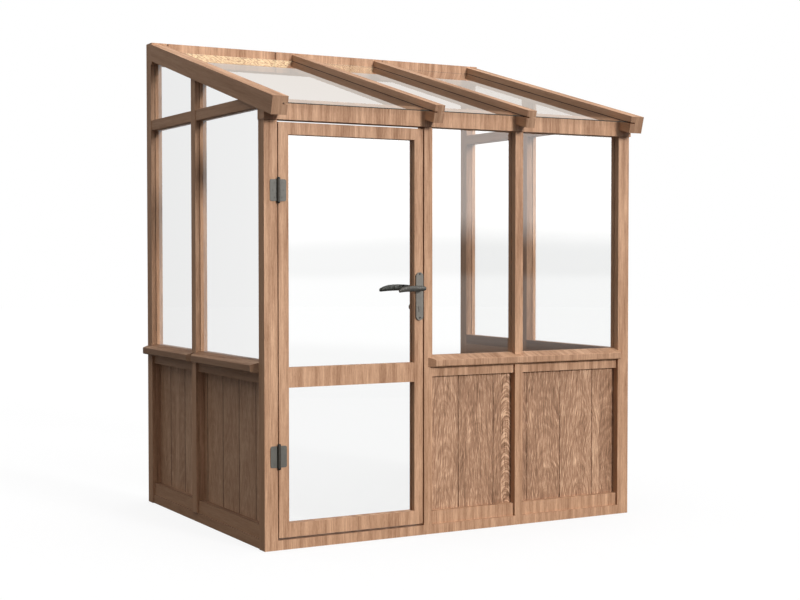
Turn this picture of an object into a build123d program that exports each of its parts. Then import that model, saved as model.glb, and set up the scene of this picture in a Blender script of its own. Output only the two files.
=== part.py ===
from build123d import *
import os
from math import cos, radians, sin, tan

# Timber lean-to greenhouse. Millimetres, +Z up, modelled from the front left
# corner of the walls and moved at the end to the middle of its footprint.

# Overall sizes
width = 2000
depth = 1514
wall = 60
base_height = 44

# Roof
pitch = radians(15)
roof_height = 2017.5
rafter_depth = 82.5
eaves_reach = 110
end_rafter_width = 76
end_rafter_lap = 6
middle_rafter_width = 51
plate_thickness = 82
plate_height = 112
plate_stand = 9
kerf_width = 6
kerf_depth = 14
kerf_places = (88, 704, 1366)
kerf_notch_height = 12

# Header over the door and windows
header_drop = 120.5
header_lap = 3
header_proud = 10

# Posts, as spans along their wall
corner_post = 64
door_post = (809, 853)
window_post = (1316, 1360)
side_mid_post = (819, 873)
back_post = 66

# Glass and the grooves it sits in
glass = 4
glass_play = 0.3
groove_depth = 10
front_glass_face = 32
side_glass_face = 21
roof_groove_top = 30
roof_groove_height = 7
end_rafter_groove = 25
middle_rafter_groove = 14
roof_glass_bearing = 11
roof_glass_setback = 38

# Transom of the side walls
transom_drop = 10
transom_depth = 51.5
transom_recess = 3

# Boarded panels below the windows
sill_top = 836
sill_height = 52
sill_reach = 28
sill_fall = 18.5
sill_nose_radius = 6
sill_horn = 22.5
sill_corner_gap = 6
sill_meeting_gap = 4
drip_groove = 4
upper_rail_height = 47
lower_rail_height = 61
rail_recess = 12
side_base_recess = 6
front_panel_recess = 36
side_panel_recess = 46
panel_thickness = 12
board_groove_width = 5
board_groove_depth = 3
front_boards = (1016, 1213, 1409, 1605, 1800)
side_boards = (199, 393, 588, 784, 1092, 1294)

# Door
door_gap = 10
door_hinge_gap = 5
door_lock_gap = 7.5
door_thickness = 45
hinge_stile = 49
lock_stile = 44.5
door_glass_face = 25
door_top_rail = 53
door_mid_rail = (717.5, 806)
door_bottom_rail = 62

# Hinges
hinge_leaf_width = 39
hinge_leaf_thickness = 3
hinge_height = 96
hinge_inset = 3
hinge_from_bottom = 313
hinge_from_top = 347
knuckle_radius = 7.5
knuckle_gap = 0.3
pin_radius = 3.5
pin_play = 0.05
finial_height = 10

# Lever lock furniture
spindle_inset = 20.5
spindle_z = 1150
plate_size = (38, 222)
plate_centre_drop = 37
furniture_plate = 8
spindle_radius = 5
spindle_play = 0.1
lever_neck_radius = 9
lever_length = 145
lever_heel = 13
lever_height = 26
lever_tip_drop = 12
lever_tip_height = 9
lever_thickness = 12
lever_bow = 26
lever_standoff = 34
lever_play = 0.5
cylinder_radius = 8.5
cylinder_drop = 88
cylinder_proud = 3
cylinder_knob_radius = 15
cylinder_knob_reach = 20

# Places that follow from the sizes above
header_bottom = roof_height - header_drop
transom_top = roof_height - transom_drop
transom_bottom = transom_top - transom_depth
plate_front = depth - plate_thickness
plate_top = roof_height + plate_front * tan(pitch) + plate_stand
plate_bottom = plate_top - plate_height
side_back_post = (depth - back_post, depth)
sill_bottom = sill_top - sill_height
upper_rail_bottom = sill_bottom - upper_rail_height
lower_rail_top = base_height + lower_rail_height
door_x0 = corner_post + door_hinge_gap
door_x1 = door_post[0] - door_lock_gap
door_inner_x0 = door_x0 + hinge_stile
door_inner_x1 = door_x1 - lock_stile
door_z0 = base_height + door_gap
door_z1 = header_bottom - door_gap
door_top_rail_bottom = door_z1 - door_top_rail
door_bottom_rail_top = door_z0 + door_bottom_rail
hinge_x = corner_post + hinge_inset
hinge_y = -knuckle_radius - 0.5
hinge_bottoms = (door_z0 + hinge_from_bottom, door_z1 - hinge_from_top)
spindle_x = door_x1 - spindle_inset
plate_centre_z = spindle_z - plate_centre_drop
cylinder_z = spindle_z - cylinder_drop


def block(x0, x1, y0, y1, z0, z1):
    middle = Pos((x0 + x1) / 2, (y0 + y1) / 2, (z0 + z1) / 2)
    return middle * Box(x1 - x0, y1 - y0, z1 - z0)


def prism_along_x(outline, x0, x1):
    face = Plane.YZ.offset(x0) * make_face(Polyline(*outline, close=True))
    return extrude(face, amount=x1 - x0, dir=(1, 0, 0))


def roof_z(y, down=0.0):
    """Height of the plane lying `down` below the top of the rafters."""
    return roof_height + y * tan(pitch) - down / cos(pitch)


def eaves_y(down):
    """Where the square-cut rafter end lies at that depth."""
    return -eaves_reach + down * sin(pitch)


def roof_slab(x0, x1, upper, lower, y_end, setback=0.0):
    """Slab between two depths below the rafter tops, square cut at the eaves."""
    back = setback * cos(pitch)
    y_upper = eaves_y(upper) + back
    y_lower = eaves_y(lower) + back
    outline = [
        (y_upper, roof_z(y_upper, upper)),
        (y_end, roof_z(y_end, upper)),
        (y_end, roof_z(y_end, lower)),
        (y_lower, roof_z(y_lower, lower)),
    ]
    return prism_along_x(outline, x0, x1)


def mirrored(shape):
    return mirror(shape, about=Plane.YZ.offset(width / 2))


def cut_all(shape, tools):
    for tool in tools:
        shape = shape - tool
    return shape


def joined(solids):
    return Compound(children=list(solids))


# Panes of the walls, and the grooves that hold them

def front_pane(x0, x1, z0, z1, face_y, edge, play):
    thick = (face_y - play, face_y + glass + play)
    reach = edge + play
    return block(x0 - reach, x1 + reach, *thick, z0 - reach, z1 + reach)


def side_pane(outline, play):
    x0 = side_glass_face - play
    return prism_along_x(outline, x0, side_glass_face + glass + play)


def lower_side_outline(y0, y1, play):
    reach = groove_depth - 1 + play
    z0 = sill_top - reach
    z1 = transom_bottom + reach
    return [(y0 - reach, z0), (y1 + reach, z0), (y1 + reach, z1), (y0 - reach, z1)]


def upper_side_outline(y0, y1, play):
    reach = groove_depth - 1 + play
    z0 = transom_top - reach
    z_limit = plate_bottom - glass_play + play
    up = rafter_depth - reach
    y_low = max(y0 - reach, (z0 - roof_z(0, up)) / tan(pitch))
    points = [(y_low, z0), (y1 + reach, z0)]
    if roof_z(y1 + reach, up) > z_limit:
        y_bend = (z_limit - roof_z(0, up)) / tan(pitch)
        points += [(y1 + reach, z_limit), (y_bend, z_limit)]
    else:
        points.append((y1 + reach, roof_z(y1 + reach, up)))
    if roof_z(y_low, up) > z0 + 1:
        points.append((y_low, roof_z(y_low, up)))
    return points


window_bays = ((door_post[1], window_post[0]), (window_post[1], width - corner_post))
side_bays = ((wall, side_mid_post[0]), (side_mid_post[1], side_back_post[0]))


def window_panes(play):
    edge = groove_depth - 1
    return [
        front_pane(x0, x1, sill_top, header_bottom, front_glass_face, edge, play)
        for x0, x1 in window_bays
    ]


def side_panes(play):
    lower = [lower_side_outline(*bay, play) for bay in side_bays]
    upper = [upper_side_outline(*bay, play) for bay in side_bays]
    return [side_pane(outline, play) for outline in lower + upper]


window_grooves = window_panes(glass_play)
side_grooves = side_panes(glass_play)


# Frame of the walls

def base_beams():
    front = block(corner_post, width - corner_post, 0, wall, 0, base_height)
    left = block(side_base_recess, wall, wall, side_back_post[0], 0, base_height)
    return front, left


def front_posts():
    corner = block(0, corner_post, 0, wall, 0, header_bottom)
    door_side = block(*door_post, 0, wall, base_height, header_bottom)
    window_side = block(*window_post, 0, wall, base_height, header_bottom)
    left = cut_all(corner, side_grooves)
    right = cut_all(mirrored(left), window_grooves)
    return (
        left,
        cut_all(door_side, window_grooves),
        cut_all(window_side, window_grooves),
        right,
    )


def side_posts():
    y0, y1 = side_mid_post
    outline = [
        (y0, base_height),
        (y1, base_height),
        (y1, roof_z(y1, rafter_depth)),
        (y0, roof_z(y0, rafter_depth)),
    ]
    middle = prism_along_x(outline, 0, wall)
    back = block(0, wall, *side_back_post, 0, plate_bottom)
    return cut_all(middle, side_grooves), cut_all(back, side_grooves)


def side_transom():
    """Rear length, and the front one cut to the underside of the rafter."""
    x0 = transom_recess
    back = block(x0, wall, *side_bays[1], transom_bottom, transom_top)
    y0, y1 = side_bays[0]
    underside = roof_z(0, rafter_depth)
    y_point = max(y0, (transom_bottom - underside) / tan(pitch))
    outline = [
        (y_point, transom_bottom),
        (y1, transom_bottom),
        (y1, transom_top),
        ((transom_top - underside) / tan(pitch), transom_top),
    ]
    if y_point == y0:
        outline.append((y0, roof_z(y0, rafter_depth)))
    front = prism_along_x(outline, x0, wall)
    return [cut_all(piece, side_grooves) for piece in (back, front)]


# Roof

def centred_over(post):
    middle = (post[0] + post[1]) / 2
    return middle - middle_rafter_width / 2, middle + middle_rafter_width / 2


rafter_spans = (
    (-end_rafter_lap, end_rafter_width - end_rafter_lap),
    centred_over(door_post),
    centred_over(window_post),
    (width + end_rafter_lap - end_rafter_width, width + end_rafter_lap),
)


def rafters():
    bodies = [roof_slab(x0, x1, 0, rafter_depth, plate_front) for x0, x1 in rafter_spans]
    lower = roof_groove_top + roof_groove_height
    grooves = []
    for index, (x0, x1) in enumerate(rafter_spans):
        is_end = index in (0, len(rafter_spans) - 1)
        into = end_rafter_groove if is_end else middle_rafter_groove
        if index > 0:
            grooves.append(roof_slab(x0 - 1, x0 + into, roof_groove_top, lower, plate_front))
        if index < len(rafter_spans) - 1:
            grooves.append(roof_slab(x1 - into, x1 + 1, roof_groove_top, lower, plate_front))
    left, *middle, right = [cut_all(body, grooves) for body in bodies]
    right_panes = [mirrored(groove) for groove in side_grooves]
    return cut_all(left, side_grooves), *middle, cut_all(right, right_panes)


def header_beam():
    top = roof_groove_top + roof_groove_height
    outline = [
        (-header_proud, header_bottom),
        (wall, header_bottom),
        (wall, roof_z(wall, top)),
        (-header_proud, roof_z(-header_proud, top)),
    ]
    beam = prism_along_x(outline, -header_lap, width + header_lap)
    for x0, x1 in rafter_spans:
        beam -= roof_slab(x0, x1, 0, rafter_depth, plate_front)
    side_tools = side_grooves + [mirrored(groove) for groove in side_grooves]
    return cut_all(beam, window_grooves + side_tools)


def wall_plate():
    plate = block(0, width, plate_front, depth, plate_bottom, plate_top)
    for index, x in enumerate(kerf_places):
        is_through = index == 1
        z0 = plate_bottom if is_through else plate_top - kerf_notch_height
        y1 = plate_front + kerf_depth
        plate -= block(x - kerf_width / 2, x + kerf_width / 2, plate_front, y1, z0, plate_top)
    return plate


def roof_panes():
    upper = roof_groove_top + roof_groove_height - glass - glass_play
    lower = upper + glass
    y_end = plate_front - glass_play
    panes = []
    for (_, x0), (x1, _) in zip(rafter_spans, rafter_spans[1:]):
        x0 -= roof_glass_bearing
        x1 += roof_glass_bearing
        panes.append(roof_slab(x0, x1, upper, lower, y_end, roof_glass_setback))
    return panes


# Sills, rails and boards below the glass

def sill(x0, x1, bays, glass_face, mitres=(1, 1)):
    """Moulded sill: its nose runs past the bays and has mitred ends."""
    outline = [
        (-sill_reach, sill_bottom),
        (wall, sill_bottom),
        (wall, sill_top),
        (glass_face, sill_top),
        (-sill_reach, sill_top - sill_fall),
    ]
    section = make_face(Polyline(*outline, close=True))
    nose = section.vertices().sort_by(Axis.X)[:2]
    section = fillet(nose, sill_nose_radius)
    start, end = min(x0, bays[0][0]), max(x1, bays[-1][1])
    run = extrude(Plane.YZ.offset(start) * section, amount=end - start, dir=(1, 0, 0))
    drip_y = -sill_reach + 2 * drip_groove
    drip_z = (sill_bottom, sill_bottom + drip_groove)
    run -= block(start, end, drip_y, drip_y + drip_groove, *drip_z)
    plan = [
        (x0, 0),
        (x0 + mitres[0] * sill_reach, -sill_reach),
        (x1 - mitres[1] * sill_reach, -sill_reach),
        (x1, 0),
    ]
    for a, b in reversed(bays):
        plan += [(b, 0), (b, wall), (a, wall), (a, 0)]
    return run & extrude(make_face(Polyline(*plan, close=True)), amount=2 * sill_top)


def front_sill():
    x0 = window_bays[0][0] - sill_horn
    x1 = window_bays[-1][1] + sill_horn
    return cut_all(sill(x0, x1, window_bays, front_glass_face), window_grooves)


def side_sill():
    """Two lengths that meet over the middle post; the rear one is flush at the back."""
    meeting = (side_mid_post[0] + side_mid_post[1]) / 2
    half = sill_meeting_gap / 2
    spans = ((wall + sill_corner_gap, meeting - half), (meeting + half, depth))
    pieces = []
    for (y0, y1), bay, mitres in zip(spans, side_bays, ((1, 1), (0, 1))):
        length = sill(-y1, -y0, [(-bay[1], -bay[0])], side_glass_face, mitres)
        pieces.append(cut_all(Rot(0, 0, -90) * length, side_grooves))
    return pieces


def rails(spans, place):
    pieces = []
    for a, b in spans:
        pieces.append(place(a, b, rail_recess, wall, upper_rail_bottom, sill_bottom))
        pieces.append(place(a, b, rail_recess, wall, base_height, lower_rail_top))
    return joined(pieces)


def along_front(a, b, d0, d1, z0, z1):
    return block(a, b, d0, d1, z0, z1)


def along_side(a, b, d0, d1, z0, z1):
    return block(d0, d1, a, b, z0, z1)


def boards(span, grooves, recess, place):
    z = (lower_rail_top, upper_rail_bottom)
    panel = place(*span, recess, recess + panel_thickness, *z)
    half = board_groove_width / 2
    for at in grooves:
        if span[0] < at < span[1]:
            panel -= place(at - half, at + half, recess, recess + board_groove_depth, *z)
    return panel


# Door leaf

def door_panes(play):
    edge = groove_depth - 1
    spans = (
        (door_bottom_rail_top, door_mid_rail[0]),
        (door_mid_rail[1], door_top_rail_bottom),
    )
    return [
        front_pane(door_inner_x0, door_inner_x1, *span, door_glass_face, edge, play)
        for span in spans
    ]


def door_stiles():
    hinge_side = block(door_x0, door_inner_x0, 0, door_thickness, door_z0, door_z1)
    lock_side = block(door_inner_x1, door_x1, 0, door_thickness, door_z0, door_z1)
    bore = Rot(90, 0, 0) * Cylinder(spindle_radius + 2, 4 * door_thickness)
    lock_side -= Pos(spindle_x, 0, spindle_z) * bore
    lock_side -= key_cylinder(glass_play)
    grooves = door_panes(glass_play)
    return joined(cut_all(piece, grooves) for piece in (hinge_side, lock_side))


def door_rails():
    spans = (
        (door_z0, door_bottom_rail_top),
        door_mid_rail,
        (door_top_rail_bottom, door_z1),
    )
    grooves = door_panes(glass_play)
    return joined(
        cut_all(block(door_inner_x0, door_inner_x1, 0, door_thickness, *span), grooves)
        for span in spans
    )


# Hinges

def hinge_cylinder(radius, z0, z1):
    return Pos(hinge_x, hinge_y, (z0 + z1) / 2) * Cylinder(radius, z1 - z0)


def hinge_leaf(side, z0):
    x0, x1 = sorted((hinge_x + side * hinge_leaf_width, hinge_x + side))
    leaf = block(x0, x1, -hinge_leaf_thickness, 0, z0, z0 + hinge_height)
    outer = leaf.edges().filter_by(Axis.Y).sort_by(Axis.X)
    corners = outer[:2] if side < 0 else outer[-2:]
    leaf = fillet(corners, 9)
    third = hinge_height / 3
    own = ((z0, z0 + third), (z0 + 2 * third, z0 + hinge_height))
    other = ((z0 + third, z0 + 2 * third),)
    if side > 0:
        own, other = other, own
    for a, b in other:
        leaf -= hinge_cylinder(knuckle_radius + knuckle_gap, a - knuckle_gap, b + knuckle_gap)
    for a, b in own:
        lift = knuckle_gap if side > 0 else 0
        leaf += hinge_cylinder(knuckle_radius, a + lift, b - lift)
    return leaf - hinge_cylinder(pin_radius + pin_play, z0 - 1, z0 + hinge_height + 1)


def hinge_pin(z0):
    z1 = z0 + hinge_height
    pin = hinge_cylinder(pin_radius, z0, z1)
    for z, outward in ((z0, -1), (z1, 1)):
        finial = hinge_cylinder(knuckle_radius, *sorted((z, z + outward * finial_height)))
        rim = finial.edges().sort_by(Axis.Z)[0 if outward < 0 else -1]
        pin += fillet(rim, knuckle_radius - 1)
    return pin


# Lever lock

def lock_plate(y0, y1):
    wide, tall = plate_size
    outline = Pos(spindle_x, 0, plate_centre_z) * Rot(90, 0, 0) * SlotOverall(tall, wide, 90)
    plate = extrude(outline, amount=y1 - y0, dir=(0, 1, 0)).moved(Location((0, y0, 0)))
    bore = Rot(90, 0, 0) * Cylinder(spindle_radius + spindle_play, 400)
    return plate - Pos(spindle_x, 0, spindle_z) * bore - key_cylinder(glass_play)


def key_cylinder(play=0.0):
    y0 = -furniture_plate - cylinder_proud
    y1 = door_thickness + furniture_plate + cylinder_proud
    middle = Pos(spindle_x, (y0 + y1) / 2, cylinder_z) * Rot(90, 0, 0)
    barrel = middle * Cylinder(cylinder_radius + play, y1 - y0)
    web = Pos(spindle_x, (y0 + y1) / 2, cylinder_z - 12) * Box(
        10 + 2 * play, y1 - y0, 18 + 2 * play
    )
    return barrel + web


def cylinder_knob():
    """Round inner end of the key cylinder, just clear of the inside plate."""
    y0 = door_thickness + furniture_plate + glass_play
    y1 = y0 + cylinder_knob_reach
    knob = Pos(spindle_x, (y0 + y1) / 2, cylinder_z) * Rot(90, 0, 0) * Cylinder(
        cylinder_knob_radius, y1 - y0
    )
    return chamfer(knob.edges().sort_by(Axis.Y)[-1], 2)


def lever_front_view():
    """Outline from the front: a rounded heel, a crowned top and a tip that drops."""
    half = lever_height / 2
    x1 = spindle_x - lever_length
    z1 = spindle_z - lever_tip_drop
    heel_top = (spindle_x, spindle_z + half - 1)
    heel_bottom = (spindle_x, spindle_z - half + 1)
    tip_top = (x1 + 5, z1 + lever_tip_height / 2)
    tip_bottom = (x1 + 5, z1 - lever_tip_height / 2)
    crown = (
        (spindle_x - lever_length * 0.36, spindle_z + half),
        (spindle_x - lever_length * 0.72, spindle_z + half - 2),
        (spindle_x - lever_length * 0.89, spindle_z + half - 11),
    )
    over = Spline(heel_top, *crown, tip_top)
    nose = ThreePointArc(tip_top, (x1, z1), tip_bottom)
    under = ThreePointArc(
        tip_bottom, (spindle_x - lever_length * 0.5, spindle_z - half - 1), heel_bottom
    )
    heel = ThreePointArc(heel_bottom, (spindle_x + lever_heel, spindle_z), heel_top)
    return make_face(Curve() + [over, nose, under, heel])


def lever_plan(y0, outward):
    """Outline from above: a band that bows away from the door towards its tip."""
    heel_x = spindle_x + lever_heel + 1
    mid_x = spindle_x - lever_length * 0.5
    tip_x = spindle_x - lever_length - 1
    bow = outward * lever_bow
    inner = ThreePointArc((heel_x, y0), (mid_x, y0 + bow * 0.2), (tip_x, y0 + bow))
    y2 = y0 + outward * lever_thickness
    outer = ThreePointArc((tip_x, y2 + bow), (mid_x, y2 + bow * 0.2), (heel_x, y2))
    ends = (Line((tip_x, y0 + bow), (tip_x, y2 + bow)), Line((heel_x, y2), (heel_x, y0)))
    return make_face(Curve() + [inner, ends[0], outer, ends[1]])


def lever(outward):
    """Bowed grip on a round neck; outward is -1 outside and +1 inside."""
    seat = -furniture_plate if outward < 0 else door_thickness + furniture_plate
    y0 = seat + outward * lever_play
    y1 = seat + outward * lever_standoff
    neck = Pos(spindle_x, (y0 + y1) / 2, spindle_z) * Rot(90, 0, 0)
    stem = neck * Cylinder(lever_neck_radius, abs(y1 - y0))
    reach = lever_bow + lever_thickness + 10
    front = extrude(Plane.XZ * lever_front_view(), amount=reach, dir=(0, outward, 0))
    front = front.moved(Location((0, y1 - outward * 5, 0)))
    plan = lever_plan(y1 - outward * 2, outward).moved(Location((0, 0, spindle_z)))
    band = extrude(plan, amount=lever_height, dir=(0, 0, 1), both=True)
    return stem + (front & band)


def spindle():
    y0 = -furniture_plate - lever_play
    y1 = door_thickness + furniture_plate + lever_play
    middle = Pos(spindle_x, (y0 + y1) / 2, spindle_z) * Rot(90, 0, 0)
    return middle * Cylinder(spindle_radius, y1 - y0)


def greenhouse():
    parts = {}
    parts["base_front"], parts["base_left"] = base_beams()
    posts = ("post_front_left", "post_door", "post_window", "post_front_right")
    parts.update(zip(posts, front_posts()))
    parts["post_left_middle"], parts["post_left_back"] = side_posts()
    parts["transom_left"] = joined(side_transom())
    names = ("rafter_left", "rafter_second", "rafter_third", "rafter_right")
    parts.update(zip(names, rafters()))
    parts["header_beam"] = header_beam()
    parts["wall_plate"] = wall_plate()
    names = ("roof_glass_first", "roof_glass_second", "roof_glass_third")
    parts.update(zip(names, roof_panes()))
    parts["window_glass"] = joined(window_panes(0))
    parts["side_glass_left"] = joined(side_panes(0))
    parts["sill_front"] = front_sill()
    parts["sill_left"] = joined(side_sill())
    parts["rails_front"] = rails(window_bays, along_front)
    parts["rails_left"] = rails(side_bays, along_side)
    parts["panels_front"] = joined(
        boards(bay, front_boards, front_panel_recess, along_front) for bay in window_bays
    )
    parts["panels_left"] = joined(
        boards(bay, side_boards, side_panel_recess, along_side) for bay in side_bays
    )
    for name in [key for key in parts if "left" in key]:
        right_name = name.replace("left", "right")
        if right_name not in parts:
            parts[right_name] = mirrored(parts[name])
    parts["door_stiles"] = door_stiles()
    parts["door_rails"] = door_rails()
    parts["door_glass"] = joined(door_panes(0))
    parts["hinge_leaves_post"] = joined(hinge_leaf(-1, z) for z in hinge_bottoms)
    parts["hinge_leaves_door"] = joined(hinge_leaf(1, z) for z in hinge_bottoms)
    parts["hinge_pins"] = joined(hinge_pin(z) for z in hinge_bottoms)
    inside = door_thickness
    parts["lock_plate_outside"] = lock_plate(-furniture_plate, 0)
    parts["lock_plate_inside"] = lock_plate(inside, inside + furniture_plate)
    parts["key_cylinder"] = key_cylinder() + cylinder_knob()
    parts["lever_outside"] = lever(-1) + spindle()
    parts["lever_inside"] = lever(1)
    return parts


os.makedirs("parts", exist_ok=True)
to_footprint_middle = Location((-width / 2, -(depth - eaves_reach) / 2, 0))
for name, shape in greenhouse().items():
    export_step(shape.moved(to_footprint_middle), f"parts/{name}.step")
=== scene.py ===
import math

import bmesh
import bpy
from mathutils import Matrix, Vector


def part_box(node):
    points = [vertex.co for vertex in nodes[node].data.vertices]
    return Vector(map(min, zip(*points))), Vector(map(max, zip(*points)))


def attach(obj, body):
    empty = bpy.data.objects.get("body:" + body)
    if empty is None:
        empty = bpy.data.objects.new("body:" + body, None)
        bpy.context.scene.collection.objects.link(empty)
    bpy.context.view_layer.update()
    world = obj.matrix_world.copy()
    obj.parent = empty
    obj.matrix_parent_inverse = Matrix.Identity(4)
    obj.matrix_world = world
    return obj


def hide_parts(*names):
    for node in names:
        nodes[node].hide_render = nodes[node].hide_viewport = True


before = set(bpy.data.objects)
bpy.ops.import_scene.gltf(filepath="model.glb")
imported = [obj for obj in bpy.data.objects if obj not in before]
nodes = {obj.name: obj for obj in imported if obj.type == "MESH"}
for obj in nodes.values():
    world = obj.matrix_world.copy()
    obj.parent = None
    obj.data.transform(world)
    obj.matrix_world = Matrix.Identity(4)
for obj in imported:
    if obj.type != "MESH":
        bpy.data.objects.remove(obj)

scene = bpy.context.scene
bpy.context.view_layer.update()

# places read off the solids
roofSlope = math.radians(15)
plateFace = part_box("wall_plate")[0].y
lowPlate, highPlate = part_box("lock_plate_outside")
plateX = (lowPlate.x + highPlate.x) / 2
outerFace = highPlate.y  # outer face of the door and of the front posts
innerFace, innerPlateFace = [corner.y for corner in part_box("lock_plate_inside")]
pinX = sum(corner.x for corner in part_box("hinge_pins")) / 2


# shader helpers: a wire is a socket that can be used in sums

class Wire:
    def __init__(self, bench, socket):
        self.bench = bench
        self.socket = socket

    def maths(self, operation, *others):
        return self.bench.maths(operation, self, *others)

    def __add__(self, other):
        return self.maths("ADD", other)

    def __sub__(self, other):
        return self.maths("SUBTRACT", other)

    def __mul__(self, other):
        return self.maths("MULTIPLY", other)

    def __truediv__(self, other):
        return self.maths("DIVIDE", other)

    def __pow__(self, other):
        return self.maths("POWER", other)

    def __gt__(self, other):
        return self.maths("GREATER_THAN", other)

    def __abs__(self):
        return self.maths("ABSOLUTE")

    def __radd__(self, other):
        return self.bench.maths("ADD", other, self)

    def __rsub__(self, other):
        return self.bench.maths("SUBTRACT", other, self)

    def __rmul__(self, other):
        return self.bench.maths("MULTIPLY", other, self)

    def __rtruediv__(self, other):
        return self.bench.maths("DIVIDE", other, self)


class Bench:
    def __init__(self, tree):
        self.tree = tree
        tree.nodes.clear()

    def add(self, kind, settings=None, sockets=None, out=0):
        node = self.tree.nodes.new("ShaderNode" + kind)
        for name, value in (settings or {}).items():
            if name == "stops":
                ramp = node.color_ramp.elements
                while len(ramp) < len(value):
                    ramp.new(0.5)
                for stop, (place, paint) in zip(ramp, value):
                    stop.position = place
                    stop.color = paint
            else:
                setattr(node, name, value)
        for name, value in (sockets or {}).items():
            if isinstance(value, Wire):
                self.tree.links.new(value.socket, node.inputs[name])
            else:
                node.inputs[name].default_value = value
        return Wire(self, node.outputs[out])

    def maths(self, operation, *terms):
        return self.add("Math", {"operation": operation}, dict(enumerate(terms)))

    def vector(self, x=0.0, y=0.0, z=0.0):
        return self.add("CombineXYZ", None, {0: x, 1: y, 2: z})

    def parts(self, vector):
        return [self.add("SeparateXYZ", None, {0: vector}, out) for out in range(3)]

    def coordinate(self, kind="Object"):
        return self.add("TexCoord", None, None, kind)

    def lightPath(self, kind):
        return self.add("LightPath", None, None, kind)

    def noise(self, vector, scale=1.0, detail=2.0, roughness=0.5):
        return self.add("TexNoise", {"noise_dimensions": "3D"},
                        {"Vector": vector, "Scale": scale, "Detail": detail, "Roughness": roughness})

    def remap(self, value, low, high, toLow=0.0, toHigh=1.0):
        return self.add("MapRange", {"interpolation_type": "SMOOTHSTEP"},
                        {0: value, 1: low, 2: high, 3: toLow, 4: toHigh})

    def ramp(self, value, stops):
        return self.add("ValToRGB", {"stops": stops}, {0: value})

    def blend(self, factor, first, second, way="MIX"):
        return self.add("Mix", {"data_type": "RGBA", "blend_type": way},
                        {0: factor, 6: first, 7: second}, 2)

    def dimmed(self, paint, level):
        # a colour times a number, which a Math node would turn grey
        grey = self.add("CombineColor", None, {0: level, 1: level, 2: level})
        return self.blend(1.0, paint, grey, "MULTIPLY")

    def pick(self, factor, first, second):
        return self.add("Mix", {"data_type": "VECTOR"}, {0: factor, 4: first, 5: second}, 1)

    def mixed(self, factor, first, second):
        return self.add("MixShader", None, {0: factor, 1: first, 2: second})

    def bump(self, height, strength, depth):
        return self.add("Bump", None, {"Strength": strength, "Distance": depth, "Height": height})

    def output(self, shader, kind="ShaderNodeOutputMaterial"):
        self.tree.links.new(shader.socket, self.tree.nodes.new(kind).inputs["Surface"])


def newMaterial(name):
    material = bpy.data.materials.new(name)
    material.use_nodes = True
    return material, Bench(material.node_tree)


def colour(red, green, blue):
    # a colour read off a screen as 0 to 255, made linear
    def linear(level):
        level = level / 255
        return level / 12.92 if level <= 0.04045 else ((level + 0.055) / 1.055) ** 2.4
    return (linear(red), linear(green), linear(blue), 1.0)


def evenGrey(level):
    return (level, level, level, 1.0)


# oiled timber

timberLook = {
    "stops": ((0.1, colour(134, 94, 66)), (0.5, colour(178, 136, 105)), (0.9, colour(213, 170, 136))),
    "streakWidth": 0.0055, "streakLength": 0.10, "streakShare": 0.8,
    "bandWidth": 0.030, "bandLength": 0.55, "bandShare": 0.95,
    "fleckWidth": 0.0016, "fleckLength": 0.014, "fleckShare": 0.10,
    "paleFleck": (0.54, 0.70), "darkFleck": (0.46, 0.30),
    "contrast": 1.08, "sideContrast": 0.42, "endGrainAndShade": 0.76,
    "roughness": (0.68, 0.54), "poreDepth": 0.0004, "poreStrength": 0.35, "shine": 0.2,
}


def grainPlace(bench, run):
    # the first two parts run across the fibres and the third along them, whichever way the face looks,
    # and a plain number holds each kind of face to its own slice of the figure
    x, y, z = bench.parts(bench.coordinate())
    facingX, _, facingZ = bench.parts(bench.coordinate("Normal"))
    side = abs(facingX) > 0.7
    level = abs(facingZ) > 0.6
    if run == "slope":
        along = y * math.cos(roofSlope) + z * math.sin(roofSlope)
        across = z * math.cos(roofSlope) - y * math.sin(roofSlope)
        upright = bench.vector(x, 0.0, z)
        sideways = bench.vector(across, 0.35, along)
        flat = bench.vector(x, 0.7, along)
    else:
        upright = bench.vector(x, y * 0.25, z)
        sideways = bench.vector(z, x * 0.25, y) if run == "length" else bench.vector(y, x * 0.25, z)
        flat = bench.vector(y, 0.7, x) if run == "side" else bench.vector(x, 0.7, y)
    place = bench.pick(level, bench.pick(side, upright, sideways), flat)
    return place, side, facingZ > 0.6, (1.0 - side) * (1.0 - level)


def scaled(bench, place, across, along):
    return bench.add("VectorMath", {"operation": "MULTIPLY"},
                     {0: place, 1: (1 / across, 1 / across, 1 / along)})


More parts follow.
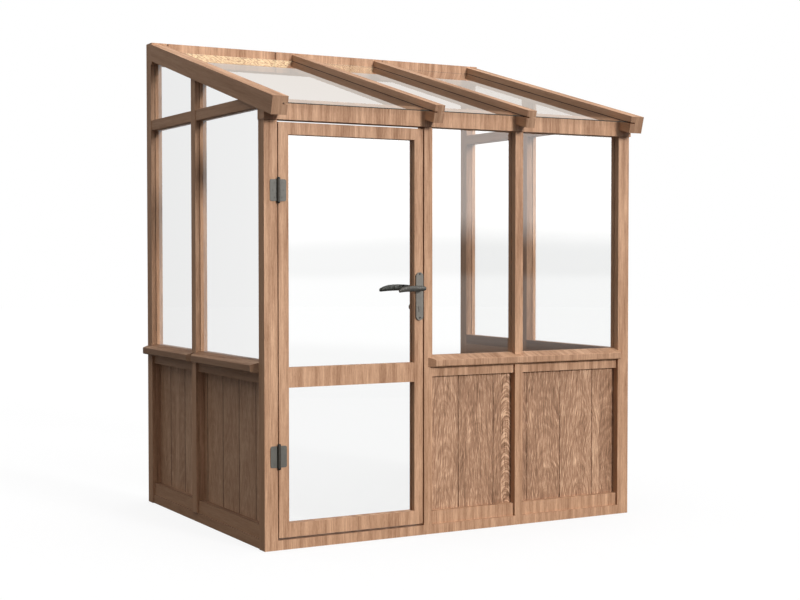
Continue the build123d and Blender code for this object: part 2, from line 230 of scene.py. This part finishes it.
def timber(name, run, shade=1.0, paintedTopShade=1.0):
    look = timberLook
    material, bench = newMaterial(name)
    place, side, top, end = grainPlace(bench, run)
    streak = bench.noise(scaled(bench, place, look["streakWidth"], look["streakLength"]), 1.0, 3.0, 0.6)
    band = bench.noise(scaled(bench, place, look["bandWidth"], look["bandLength"]))
    fleck = bench.noise(scaled(bench, place, look["fleckWidth"], look["fleckLength"]))
    dash = bench.remap(fleck, *look["paleFleck"]) - bench.remap(fleck, *look["darkFleck"])
    depth = look["contrast"] - side * (look["contrast"] * (1.0 - look["sideContrast"]))
    tone = ((streak - 0.5) * look["streakShare"] + (band - 0.5) * look["bandShare"]
            + dash * look["fleckShare"]) * depth + 0.5
    stops = [(at, tuple(part * shade for part in paint[:3]) + (1.0,)) for at, paint in look["stops"]]
    paint = bench.ramp(tone, stops)
    if run == "slope":
        # cut ends drink more oil than the faces, and the darker ends are also painted shade for the rafter
        # ends that tilt down
        paint = bench.blend(end, paint, bench.blend(1.0, paint, evenGrey(look["endGrainAndShade"]), "MULTIPLY"))
    if paintedTopShade < 1.0:
        # painted shade: the tops of the level members are darkened, as they lie in shade
        paint = bench.blend(top, paint, bench.blend(1.0, paint, evenGrey(paintedTopShade), "MULTIPLY"))
    bench.output(bench.add("BsdfPrincipled", None, {
        "Base Color": paint,
        "Roughness": bench.remap(tone, 0.2, 0.8, *look["roughness"]),
        "Normal": bench.bump(streak * 0.6 + fleck * 0.4, look["poreStrength"], look["poreDepth"]),
        "Specular IOR Level": look["shine"]}))
    return material


# the boards under the windows

boardLook = {
    "stops": [(0.06, colour(104, 72, 49)), (0.5, colour(165, 124, 95)), (0.94, colour(224, 184, 150))],
    # the joints, the middle of the strip with tight arches, where the grain starts to swirl,
    # and the half width and shade of a joint
    "front": ((0.016, 0.213, 0.409, 0.605, 0.800), 0.288, 0.37, 0.0024, 0.85),
    "side": ((-0.503, -0.309, -0.114, 0.082, 0.390, 0.592), -0.572, 9.0, 0.0042, 0.55),
    "pitch": 0.196, "stave": 0.24, "leanMost": 0.14,
    "wander": (6.0, 9.0, 5.0),  # how fast the grain wanders across, from stave to stave and along
    "swirlOver": 0.06, "swirl": (0.016, 0.085),
    # width, length and share of each kind of mark
    "streak": (0.0045, 0.20, 1.3),
    "fleck": (0.0029, 0.050, 0.36),
    "pore": (0.0023, 0.044, 0.34),
    "patch": (0.045, 0.22, 0.5),
    "ringSpacing": 0.05, "ringShare": 0.5, "ringMiddle": 0.6, "ringBend": (8.0, 24.0), "ringWander": 6.0,
    "archSpacing": 0.036, "archHalf": 0.028, "archRise": 0.022, "archShare": 0.34,
    "staveShare": 0.2, "middleTone": 0.43,
    "roughness": (0.72, 0.58), "poreDepth": 0.0006, "poreStrength": 0.5, "shine": 0.25,
}


def boards(name, run, lift, depth=1.0):
    look = boardLook
    joints, archMiddle, swirlFrom, jointHalf, jointShade = look[run]
    material, bench = newMaterial(name)
    x, y, z = bench.parts(bench.coordinate())
    u = x if run == "front" else y
    near = abs(u - joints[0])
    board = u > joints[0]
    for joint in joints[1:]:
        near = bench.maths("MINIMUM", near, abs(u - joint))
        board = board + (u > joint)
    share = bench.maths("FRACT", (u - joints[0]) / look["pitch"] + 8.0)
    # each board is glued up of two staves, and each stave has two random numbers of its own
    stave = board * 2.0 + (share > look["stave"])
    seeds = [bench.add("TexWhiteNoise", {"noise_dimensions": "1D"}, {"W": stave + 3.0 + 40.5 * step})
             for step in range(2)]
    across, apart, along = look["wander"]
    wander = bench.noise(bench.vector(u * across, seeds[0] * apart, z * along), 1.0, 0.5) - 0.5
    swirl = bench.remap(u, swirlFrom, swirlFrom + look["swirlOver"], *look["swirl"])
    grain = u + z * ((seeds[0] - 0.5) * look["leanMost"]) + wander * swirl

    # cathedral arches: tall and faint on most boards, tight and pale on one strip
    least, more = look["ringBend"]
    aside = share - look["ringMiddle"]
    tall = z / look["ringSpacing"] + aside * aside * (seeds[1] * more + least) + wander * look["ringWander"]
    ring = bench.noise(bench.vector(tall * 1.5, seeds[1] * 30.0, grain * 9.0), 1.0, 2.0, 0.6)
    offset = (u - archMiddle) / look["archHalf"]
    tight = (z + offset * offset * look["archRise"] + wander * 0.05) / look["archSpacing"]
    line = bench.noise(bench.vector(tight * 2.2, offset * 0.35, 3.0), 1.0, 2.0, 0.7)
    strip = 1.0 - bench.remap(abs(offset), 0.85, 1.15)
    arch = bench.remap(line, 0.50, 0.58) - bench.remap(line, 0.48, 0.34) * 0.6

    def marks(kind, across, seed, detail, roughness):
        width, length, part = look[kind]
        return bench.noise(bench.vector(across / width, seed, z / length), 1.0, detail, roughness), part

    streak, streakShare = marks("streak", grain, stave, 3.0, 0.6)
    fleck, fleckShare = marks("fleck", grain, stave, 2.0, 0.55)
    pore, poreShare = marks("pore", grain, stave + 5.0, 2.0, 0.5)
    patch, patchShare = marks("patch", u, stave, 2.0, 0.5)
    dash = bench.remap(fleck, 0.52, 0.66)
    dark = bench.remap(pore, 0.56, 0.70)
    figure = ((streak - 0.5) * streakShare + dash * fleckShare - dark * poreShare
              + (patch - 0.5) * patchShare + (ring - 0.5) * look["ringShare"]
              + (seeds[1] - 0.5) * look["staveShare"])
    tone = figure * depth + arch * strip * look["archShare"] + look["middleTone"] + lift
    seam = bench.remap(near, jointHalf * 0.8, jointHalf * 1.2, jointShade, 1.0)
    height = streak * 0.5 + dash * 0.3 - dark * 0.2
    bench.output(bench.add("BsdfPrincipled", None, {
        "Base Color": bench.dimmed(bench.ramp(tone, look["stops"]), seam),
        "Roughness": bench.remap(tone, 0.2, 0.8, *look["roughness"]),
        "Normal": bench.bump(height, look["poreStrength"], look["poreDepth"]),
        "Specular IOR Level": look["shine"]}))
    return material


# float glass with dark cut edges, and a painted band of thrown-back sunlight along the top of the roof
# panes

glassLook = {
    "ior": 1.52, "clear": (0.998, 1.0, 0.999, 1.0),
    "edge": colour(52, 56, 50), "edgeRoughness": 0.35,
}
paintedLightLook = {
    "paint": colour(242, 214, 172), "cover": 0.78, "thin": 0.10,
    "speck": 0.006, "stretch": 8.0,  # width of a speck, and how much longer it is down the slope
    "specks": (0.42, 0.54), "grazing": (0.10, 0.35),
    "reach": 0.34, "fade": 0.06,  # how far it comes down from the wall plate
    "slant": 0.56, "short": 0.012, "past": 0.004,  # how it is cut off beside a rafter
    "second": 0.4,  # how much lies on the second pane
}


def paintedLightCover(bench, fresnel):
    # painted light: strongest on the left pane, none on the right one, seen only at a low angle
    look = paintedLightLook
    x, y, _ = bench.parts(bench.coordinate())
    length = look["stretch"] * look["speck"]
    speck = bench.noise(bench.vector(x / look["speck"], y / length, 0.0), 1.0, 1.0)
    low = plateFace - look["reach"]
    near = bench.remap(y, low, low + look["fade"])
    slanted = x + (plateFace - y) * look["slant"]
    second, third = [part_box(name)[0].x for name in ("rafter_second", "rafter_third")]

    def cutOff(rafter, most):
        return bench.remap(slanted, rafter - look["short"], rafter + look["past"], most, 0.0)

    past = x > second
    bay = (1.0 - past) * cutOff(second, 1.0) + past * cutOff(third, look["second"])
    grazing = bench.remap(fresnel, *look["grazing"])
    return bench.remap(speck, *look["specks"], look["thin"], 1.0) * near * bay * grazing * look["cover"]


def floatGlass(name, edgeAxis, withPaintedLight=False):
    # one pane is two faces: the near one carries both reflections, and the far one is only clear
    material, bench = newMaterial(name)
    fresnel = bench.add("Fresnel", None, {"IOR": glassLook["ior"]})
    nearFace = 1.0 - bench.add("NewGeometry", None, None, "Backfacing")
    clear = bench.add("BsdfTransparent", None, {"Color": glassLook["clear"]})
    shine = bench.add("BsdfGlossy", None, {"Color": evenGrey(1.0), "Roughness": 0.0})
    pane = bench.mixed(fresnel * 2.0 / (fresnel + 1.0) * nearFace, clear, shine)
    if withPaintedLight:
        # pale gold specks on the near face: painted light for sunlight thrown back by the glass
        paintedLight = bench.add("BsdfDiffuse", None, {"Color": paintedLightLook["paint"]})
        pane = bench.mixed(paintedLightCover(bench, fresnel) * nearFace, pane, paintedLight)
    facing = bench.coordinate("Normal")
    flat = bench.add("VectorMath", {"operation": "DOT_PRODUCT"}, {0: facing, 1: edgeAxis}, "Value")
    rimmed = (1.0 - (abs(flat) > 0.5)) * (1.0 - bench.lightPath("Is Shadow Ray"))
    rim = bench.add("BsdfPrincipled", None,
                    {"Base Color": glassLook["edge"], "Roughness": glassLook["edgeRoughness"]})
    bench.output(bench.mixed(rimmed, pane, rim))
    return material


# satin steel

steelLook = {
    "brushLength": 0.004, "brushWidth": 0.0007, "brushShare": 0.25,
    "brushDepth": 0.0002, "brushStrength": 0.15,
    "smudgeScale": 60.0, "smudgeShare": 0.35, "smudgeSheen": 0.06, "shine": 0.35,
    "knuckle": (0.0074, 0.0082), "knucklePaint": colour(46, 42, 35),
}


def satinSteel(name, paint, roughness, metallic, barrelX=None):
    look = steelLook
    material, bench = newMaterial(name)
    place = bench.coordinate()
    x, y, z = bench.parts(place)
    length = look["brushLength"]
    brushed = bench.noise(bench.vector(x / length, y / length, z / look["brushWidth"]))
    smudge = bench.noise(place, look["smudgeScale"])
    tone = (brushed - 0.5) * look["brushShare"] + (smudge - 0.5) * look["smudgeShare"] + 1.0
    tint = bench.dimmed(paint, tone)
    sheen = look["smudgeSheen"]
    if barrelX is not None:
        # the knuckles round the pin are given a darker colour than the leaves
        darkKnuckle = bench.remap(abs(x - barrelX), *look["knuckle"], 1.0, 0.0)
        tint = bench.blend(darkKnuckle, tint, look["knucklePaint"])
    bench.output(bench.add("BsdfPrincipled", None, {
        "Base Color": tint, "Metallic": metallic,
        "Roughness": bench.remap(smudge, 0.3, 0.7, roughness - sheen, roughness + sheen),
        "Normal": bench.bump(brushed, look["brushStrength"], look["brushDepth"]),
        "Specular IOR Level": look["shine"]}))
    return material


# finishes, and the nodes that wear them

finishes = {
    "timberFront": timber("timberFront", "front"),
    "timberSill": timber("timberSill", "front", 0.9),
    "timberSideSill": timber("timberSideSill", "length", 0.62),
    "timberSide": timber("timberSide", "side"),
    # painted shade on the tops of these level members
    "timberBeam": timber("timberBeam", "length", 0.96, 0.5),
    # the beads are stained dark, and the dark stain also paints the shade line beside the roof panes
    "timberBead": timber("timberBead", "slope", 0.3),
    "timberRafter": timber("timberRafter", "slope"),
    "boardsFront": boards("boardsFront", "front", -0.015),
    # painted light: the side boards are made lighter than the front boards for the shaded side walls, and
    # their figure is fainter
    "boardsSide": boards("boardsSide", "side", 0.17, 0.5),
    "glassFront": floatGlass("glassFront", (0.0, 1.0, 0.0)),
    "glassSide": floatGlass("glassSide", (1.0, 0.0, 0.0)),
    "glassRoof": floatGlass("glassRoof", (0.0, -math.sin(roofSlope), math.cos(roofSlope)), True),
    "hingeSteel": satinSteel("hingeSteel", colour(81, 79, 73), 0.5, 0.15, pinX),
    "plateSteel": satinSteel("plateSteel", colour(98, 94, 87), 0.45, 0.2),
    "leverSteel": satinSteel("leverSteel", colour(63, 61, 56), 0.42, 0.12),
    # painted shade: the inner lever is the same steel made darker and duller, for the shade it stands in
    "leverSteelPaintedShade": satinSteel("leverSteelPaintedShade", colour(42, 43, 38), 0.5, 0.05),
    "darkSteel": satinSteel("darkSteel", colour(26, 24, 21), 0.55, 0.1),
}

# every node that isn't named here is timberFront
finishOf = {
    "timberSill": ["sill_front"],
    "timberSideSill": ["sill_left", "sill_right"],
    "timberSide": ["post_left_middle", "post_left_back", "post_right_middle", "post_right_back"],
    "timberBeam": ["base_left", "base_right", "transom_left", "transom_right", "rails_left", "rails_right"],
    "timberRafter": ["rafter_left", "rafter_second", "rafter_third", "rafter_right"],
    "boardsFront": ["panels_front"],
    "boardsSide": ["panels_left", "panels_right"],
    "glassFront": ["window_glass", "door_glass"],
    "glassSide": ["side_glass_left", "side_glass_right"],
    "glassRoof": ["roof_glass_first", "roof_glass_second", "roof_glass_third"],
    "hingeSteel": ["hinge_leaves_post", "hinge_leaves_door"],
    "plateSteel": ["lock_plate_outside", "lock_plate_inside", "key_cylinder"],
    "leverSteel": ["lever_outside", "lever_inside"],
    "darkSteel": ["hinge_pins"],
}
finishByNode = {node: finish for finish, names in finishOf.items() for node in names}
for name, piece in nodes.items():
    material = finishes[finishByNode.get(name, "timberFront")]
    if not piece.material_slots:
        piece.data.materials.append(material)
    for slot in piece.material_slots:
        slot.material = material
print("finishes on", len(nodes), "nodes")


# mesh helpers

def newCorners(mesh, before):
    return [corner for corner in mesh.verts if corner not in before]


def facesOf(corners):
    return list({face for corner in corners for face in corner.link_faces})


def pulled(mesh, faces):
    # extrude faces, and give back the new faces and their corners
    grown = bmesh.ops.extrude_face_region(mesh, geom=faces)["geom"]
    return ([part for part in grown if isinstance(part, bmesh.types.BMFace)],
            [part for part in grown if isinstance(part, bmesh.types.BMVert)])


def turned(degrees, axis):
    return Matrix.Rotation(math.radians(degrees), 4, axis)


def linked(mesh, name, material):
    # an object made of a bmesh
    data = bpy.data.meshes.new(name)
    mesh.to_mesh(data)
    mesh.free()
    data.materials.append(material)
    piece = bpy.data.objects.new(name, data)
    scene.collection.objects.link(piece)
    return piece


def finished(mesh, name, finish, body):
    bmesh.ops.recalc_face_normals(mesh, faces=mesh.faces)
    piece = linked(mesh, name, finishes[finish])
    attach(piece, body)
    return piece


# screws of the lock plates and hinges

screwLook = {"rise": 0.0006, "taper": 0.82, "rim": 0.28, "sink": 0.0005, "sides": 20}
plateScrewLook = {"heights": (1.216, 1.014), "radius": 0.0047, "turn": 0.6}
hingeScrewLook = {
    "bottoms": (0.367, 1.540), "height": 0.096, "shares": (0.16, 0.5, 0.84),
    "knuckle": 0.0075, "across": (0.011, 0.018), "proud": 0.003, "radius": 0.0034, "turn": 0.5,
}


def addScrew(mesh, place, facing, radius, turn):
    # a raised head with tapered sides and a sunk middle
    before = set(mesh.verts)
    bmesh.ops.create_circle(mesh, cap_ends=True, segments=screwLook["sides"], radius=radius)
    upper, top = pulled(mesh, facesOf(newCorners(mesh, before)))
    bmesh.ops.translate(mesh, verts=top, vec=(0, 0, screwLook["rise"]))
    bmesh.ops.scale(mesh, verts=top, vec=(screwLook["taper"], screwLook["taper"], 1.0))
    bmesh.ops.inset_region(mesh, faces=upper, thickness=radius * screwLook["rim"], depth=-screwLook["sink"])
    stand = Vector((0, 0, 1)).rotation_difference(Vector(facing)).to_matrix().to_4x4()
    bmesh.ops.transform(mesh, matrix=Matrix.Translation(place) @ stand @ Matrix.Rotation(turn, 4, "Z"),
                        verts=newCorners(mesh, before))


for side, faceY, facing in (("outside", lowPlate.y, -1), ("inside", innerPlateFace, 1)):
    mesh = bmesh.new()
    for height in plateScrewLook["heights"]:
        addScrew(mesh, Vector((plateX, faceY, height)), (0, facing, 0),
                 plateScrewLook["radius"], plateScrewLook["turn"] * height)
    finished(mesh, f"plate_screws_{side}", "darkSteel", "door")

for side, body, way in (("post", "frame", -1), ("door", "door", 1)):
    mesh = bmesh.new()
    for bottom in hingeScrewLook["bottoms"]:
        for number, share in enumerate(hingeScrewLook["shares"]):
            away = hingeScrewLook["knuckle"] + hingeScrewLook["across"][number % 2]
            place = Vector((pinX + way * away, outerFace - hingeScrewLook["proud"],
                            bottom + share * hingeScrewLook["height"]))
            addScrew(mesh, place, (0, -1, 0), hingeScrewLook["radius"], hingeScrewLook["turn"] * number)
    finished(mesh, f"hinge_screws_{side}", "hingeSteel", body)
print("screws placed")


# the levers, pulled through stations from heel to tip

leverLook = {
    "spindleX": -0.219, "spindleZ": 1.150, "heel": 0.013, "length": 0.1588, "sides": 8,
    "grip": 0.046, "bowLine": -0.0604, "bowSquare": 1.3929,  # how far out from the door the grip runs
    "innerDrop": 0.85, "innerArch": 0.0035, "innerTall": 1.1,  # how the inner lever differs
    # how far from the heel, then thickness, height and drop of the middle
    "stations": (
        (0.0004, 0.0060, 0.0080, 0.0), (0.003, 0.0100, 0.0170, 0.0), (0.008, 0.0122, 0.0235, 0.0),
        (0.016, 0.0132, 0.0272, 0.0), (0.040, 0.0136, 0.0285, 0.0), (0.066, 0.0136, 0.0295, 0.0003),
        (0.094, 0.0136, 0.0294, 0.0008), (0.118, 0.0134, 0.0284, 0.0018), (0.132, 0.0132, 0.0256, 0.0040),
        (0.143, 0.0130, 0.0224, 0.0062), (0.151, 0.0124, 0.0186, 0.0088), (0.1562, 0.0108, 0.0150, 0.0100),
        (0.1588, 0.0064, 0.0090, 0.0106)),
    # the collar on the plate and the neck, as steps out from the door and the size beside the last
    "collar": 0.013, "collarSides": 16, "seat": 0.0084,
    "neckSteps": ((0.0022, 1.0), (0.0012, 0.76), (0.012, 0.92), (0.021, 1.0)),
    "spindle": 0.005, "spindleLong": 0.060, "spindleSides": 24,
    "smooth": 2,
}


def leverPlace(share, drop, side):
    # the grip bows away from the door towards its tip
    out = leverLook["grip"] + leverLook["bowSquare"] * share * share + leverLook["bowLine"] * share
    faceY = outerFace if side < 0 else innerFace
    if side > 0:
        rise = leverLook["innerArch"] * math.sin(math.pi * share / leverLook["length"])
        drop = drop * leverLook["innerDrop"] - rise
    return Vector((leverLook["spindleX"] + leverLook["heel"] - share, faceY + side * out,
                   leverLook["spindleZ"] - drop))


def addGrip(mesh, side):
    tallness = leverLook["innerTall"] if side > 0 else 1.0
    (share, thick, high, drop), *stations = leverLook["stations"]
    high = high * tallness
    centre = leverPlace(share, drop, side)
    bmesh.ops.create_circle(mesh, cap_ends=True, segments=leverLook["sides"], radius=0.5)
    for degrees, axis in ((180 / leverLook["sides"], "Z"), (90, "Y")):
        bmesh.ops.transform(mesh, matrix=turned(degrees, axis), verts=mesh.verts)
    bmesh.ops.scale(mesh, verts=mesh.verts, vec=(1.0, thick, high))
    bmesh.ops.translate(mesh, verts=mesh.verts, vec=centre)
    end = mesh.faces[:]
    for share, wide, tall, drop in stations:
        tall = tall * tallness
        end, corners = pulled(mesh, end)
        ahead = leverPlace(share, drop, side)
        bmesh.ops.scale(mesh, verts=corners, vec=(1.0, wide / thick, tall / high),
                        space=Matrix.Translation(-centre))
        bmesh.ops.translate(mesh, verts=corners, vec=ahead - centre)
        centre, thick, high = ahead, wide, tall


def addNeck(mesh, side):
    # a collar on the plate that narrows into the neck
    faceY = outerFace if side < 0 else innerFace
    centre = Vector((leverLook["spindleX"], faceY + side * leverLook["seat"], leverLook["spindleZ"]))
    before = set(mesh.verts)
    bmesh.ops.create_circle(mesh, cap_ends=True, segments=leverLook["collarSides"],
                            radius=leverLook["collar"])
    foot = newCorners(mesh, before)
    end = facesOf(foot)
    bmesh.ops.transform(mesh, matrix=Matrix.Translation(centre) @ turned(-90 * side, "X"), verts=foot)
    for step, size in leverLook["neckSteps"]:
        end, corners = pulled(mesh, end)
        bmesh.ops.scale(mesh, verts=corners, vec=(size, 1.0, size), space=Matrix.Translation(-centre))
        bmesh.ops.translate(mesh, verts=corners, vec=(0, side * step, 0))
        centre = centre + Vector((0, side * step, 0))


def addSpindle(mesh):
    # the bar that joins both levers through the lock
    before = set(mesh.verts)
    thick = leverLook["spindle"]
    bmesh.ops.create_cone(mesh, cap_ends=True, segments=leverLook["spindleSides"],
                          radius1=thick, radius2=thick, depth=leverLook["spindleLong"])
    middle = Vector((leverLook["spindleX"], (outerFace + innerFace) / 2, leverLook["spindleZ"]))
    bmesh.ops.transform(mesh, matrix=Matrix.Translation(middle) @ turned(90, "X"),
                        verts=newCorners(mesh, before))


def lever(name, side, node, finish):
    mesh = bmesh.new()
    addGrip(mesh, side)
    addNeck(mesh, side)
    if side < 0:
        addSpindle(mesh)
    piece = finished(mesh, name, finish, "handle")
    for face in piece.data.polygons:
        face.use_smooth = True
    soft = piece.modifiers.new("soft", "SUBSURF")
    soft.levels = soft.render_levels = leverLook["smooth"]
    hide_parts(node)


lever("lever_grip_outside", -1, "lever_outside", "leverSteel")
lever("lever_grip_inside", 1, "lever_inside", "leverSteelPaintedShade")
print("levers made")


# the keyhole in the outer end of the cylinder: a dark ring and slot laid on the end, not cut, as painted
# shade for the hollow keyway

keyLook = {
    "ring": 0.0066, "ringSides": 28, "band": 0.0019, "above": 0.003, "rise": 0.0003,
    "slotWide": 0.0022, "slotHigh": 0.0085, "slotSides": 12,
}
lowKey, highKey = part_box("key_cylinder")
keyPlace = Vector((plateX, lowKey.y, (lowKey.z + highKey.z) / 2 + keyLook["above"]))
mesh = bmesh.new()
bmesh.ops.create_circle(mesh, cap_ends=True, segments=keyLook["ringSides"], radius=keyLook["ring"])
rim = bmesh.ops.inset_region(mesh, faces=mesh.faces[:], thickness=keyLook["band"])["faces"]
bmesh.ops.delete(mesh, geom=[face for face in mesh.faces if face not in rim], context="FACES")
bmesh.ops.create_circle(mesh, cap_ends=True, segments=keyLook["slotSides"], radius=0.5,
                        matrix=Matrix.Diagonal((keyLook["slotWide"], keyLook["slotHigh"], 1.0, 1.0)))
_, corners = pulled(mesh, mesh.faces[:])
bmesh.ops.translate(mesh, verts=corners, vec=(0, 0, keyLook["rise"]))
bmesh.ops.transform(mesh, matrix=Matrix.Translation(keyPlace) @ turned(90, "X"), verts=mesh.verts)
finished(mesh, "keyhole", "darkSteel", "door")


# slim beads that close the glazing grooves above the roof panes

beadLook = {
    "proud": 0.0012, "inside": 0.003, "depth": 0.0026, "chamfer": 0.0006,
    "roofTop": 2.0175, "below": 0.0301,  # rafter top over the front posts, and the bead's top under it
    "frontEnd": 0.006, "backEnd": 0.001,  # how far the ends stop short
}


def addBead(mesh, centreX, startY, endY):
    before = set(mesh.verts)
    wide = beadLook["proud"] + beadLook["inside"]
    run = (endY - startY) / math.cos(roofSlope)
    bmesh.ops.create_cube(mesh, size=1.0, matrix=Matrix.Diagonal((wide, run, beadLook["depth"], 1.0)))
    ridge = list({edge for corner in newCorners(mesh, before) for edge in corner.link_edges
                  if all(end.co.z > 0 for end in edge.verts)})
    bmesh.ops.bevel(mesh, geom=ridge, offset=beadLook["chamfer"], affect="EDGES",
                    segments=2, profile=0.5, material=-1)
    down = beadLook["below"] + beadLook["depth"] / 2
    midY = (startY + endY) / 2
    midZ = beadLook["roofTop"] + (midY - outerFace) * math.tan(roofSlope) - down / math.cos(roofSlope)
    stand = Matrix.Translation((centreX, midY, midZ)) @ Matrix.Rotation(roofSlope, 4, "X")
    bmesh.ops.transform(mesh, matrix=stand, verts=newCorners(mesh, before))


mesh = bmesh.new()
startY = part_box("roof_glass_first")[0].y + beadLook["frontEnd"]
endY = plateFace - beadLook["backEnd"]
rafters = [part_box(name) for name in ("rafter_left", "rafter_second", "rafter_third", "rafter_right")]
for (_, before), (after, _) in zip(rafters, rafters[1:]):
    for edge, way in ((before.x, 1), (after.x, -1)):
        addBead(mesh, edge + way * (beadLook["proud"] - beadLook["inside"]) / 2, startY, endY)
finished(mesh, "glazing_seals", "timberBead", "frame")
print("beads laid")


# the studio

studio = {
    "floorRadius": 30.0, "floorSides": 96, "floorBounce": 0.13, "floorDrop": 0.001,
    "floorPaint": 0.85, "floorShadow": 0.15,  # how much of the floor's own shading shows
    "keyTurn": 14.0, "keyHeight": 15.5, "keyPower": 0.86 * math.pi, "keyAngle": 12.0,
    "zenith": 2.9, "zenithPower": 4.0, "ground": 0.045, "backdrop": 1.0,
    "skyCard": 3.2, "hillScale": 0.5, "hillShare": 0.02,
}
cameraLook = {
    "eye": (-3.5635, -6.4943, 1.2980), "angles": (88.268, 0.006, -29.249),
    "lens": 64.99, "sensor": 36.0, "farthest": 200.0,
}


def unbounced(bench):
    # no white light thrown back onto the timber by the panes
    return 1.0 - (bench.lightPath("Diffuse Depth") > 0.5)


material, bench = newMaterial("paleFloor")
dim = bench.add("BsdfDiffuse", None, {"Color": evenGrey(studio["floorBounce"])})
pale = bench.add("BsdfDiffuse", None, {"Color": evenGrey(studio["floorPaint"])})
glow = bench.add("Emission", None, {"Color": evenGrey(1.0), "Strength": 1.0})
shown = bench.mixed(studio["floorShadow"], glow, pale)
bench.output(bench.mixed(bench.lightPath("Is Camera Ray"), dim, shown))
mesh = bmesh.new()
bmesh.ops.create_circle(mesh, cap_ends=True, segments=studio["floorSides"], radius=studio["floorRadius"])
floor = linked(mesh, "floor", material)
floor.location.z = -studio["floorDrop"]

key = bpy.data.objects.new("keyLight", bpy.data.lights.new("keyLight", "SUN"))
key.data.energy = studio["keyPower"]
key.data.angle = math.radians(studio["keyAngle"])
turn, rise = math.radians(studio["keyTurn"]), math.radians(studio["keyHeight"])
toKey = Vector((math.sin(turn) * math.cos(rise), -math.cos(turn) * math.cos(rise), math.sin(rise)))
key.rotation_euler = toKey.to_track_quat("Z", "Y").to_euler()
scene.collection.objects.link(key)

# the camera, the glass and mirrored rays see a white room, and the timber is lit mostly from above
scene.world = bpy.data.worlds.new("studio")
scene.world.use_nodes = True
bench = Bench(scene.world.node_tree)
up = bench.parts(bench.coordinate("Generated"))[2]
overhead = bench.maths("MAXIMUM", up, 0.0) ** studio["zenithPower"] * studio["zenith"] + studio["ground"]
mirrored = bench.lightPath("Is Glossy Ray") + bench.lightPath("Is Transmission Ray")
white = bench.maths("MINIMUM", bench.lightPath("Is Camera Ray") + mirrored * unbounced(bench), 1.0)
strength = white * studio["backdrop"] + (1.0 - white) * overhead
bench.output(bench.add("Background", None, {"Color": evenGrey(1.0), "Strength": strength}),
             "ShaderNodeOutputWorld")

# cards that only reflections see: name, centre, width, height, turn, and the light from foot to head
warmSky, skyTint = (1.0, 0.91, 0.83), (1.0, 0.97, 0.95)
cardTurn = 29.0
ahead = Vector((math.sin(math.radians(cardTurn)), -math.cos(math.radians(cardTurn)), 0))
cards = (
    # in the front glass: floor light, a dark skyline, then bright sky
    ("frontCard", ahead * 7.0 + Vector((0, 0, 5.0)), 34.0, 10.0, cardTurn,
     ((0.0, 0.06), (0.041, 0.15), (0.052, 0.9), (0.108, 0.9), (0.116, 0.15), (0.138, 0.25),
      (0.165, 3.0, skyTint))),
    ("leftCard", Vector((-8.0, 9.0, 4.0)), 26.0, 12.0, 35.0, ((0.0, 0.44), (1.0, 0.44))),
    ("roofCard", Vector((5.7, 9.8, 7.0)), 26.0, 9.0, -30.0, ((0.0, 0.76, warmSky), (1.0, 0.76, warmSky))),
)


def card(name, centre, width, height, turn, levels):
    material, bench = newMaterial(name)
    stops = []
    for at, level, *tint in levels:
        red, green, blue = tint[0] if tint else (1.0, 1.0, 1.0)
        level = level / studio["skyCard"]
        stops.append((at, (level * red, level * green, level * blue, 1.0)))
    rise = bench.parts(bench.coordinate())[2] - (centre[2] - height * 0.5)
    hills = bench.noise(bench.coordinate(), studio["hillScale"], 3.0) - 0.5
    light = bench.ramp(rise / height + hills * studio["hillShare"], stops)
    light = bench.dimmed(light, unbounced(bench))
    bench.output(bench.add("Emission", None, {"Color": light, "Strength": studio["skyCard"]}))
    mesh = bmesh.new()
    bmesh.ops.create_grid(mesh, x_segments=1, y_segments=1, size=0.5)
    stand = Matrix.Translation(centre) @ turned(turn, "Z") @ Matrix.Diagonal((width, height, height, 1.0))
    bmesh.ops.transform(mesh, verts=mesh.verts, matrix=stand @ turned(90, "X"))
    piece = linked(mesh, name, material)
    piece.visible_camera = piece.visible_diffuse = piece.visible_transmission = False
    piece.visible_shadow = piece.visible_volume_scatter = False


for row in cards:
    card(*row)

camera = bpy.data.objects.new("camera", bpy.data.cameras.new("camera"))
camera.data.sensor_width = cameraLook["sensor"]
camera.data.lens = cameraLook["lens"]
camera.data.clip_end = cameraLook["farthest"]
camera.location = cameraLook["eye"]
camera.rotation_euler = [math.radians(angle) for angle in cameraLook["angles"]]
scene.collection.objects.link(camera)
scene.camera = camera
scene.view_settings.view_transform = "Standard"
scene.cycles.transparent_max_bounces = 24
print("studio set")
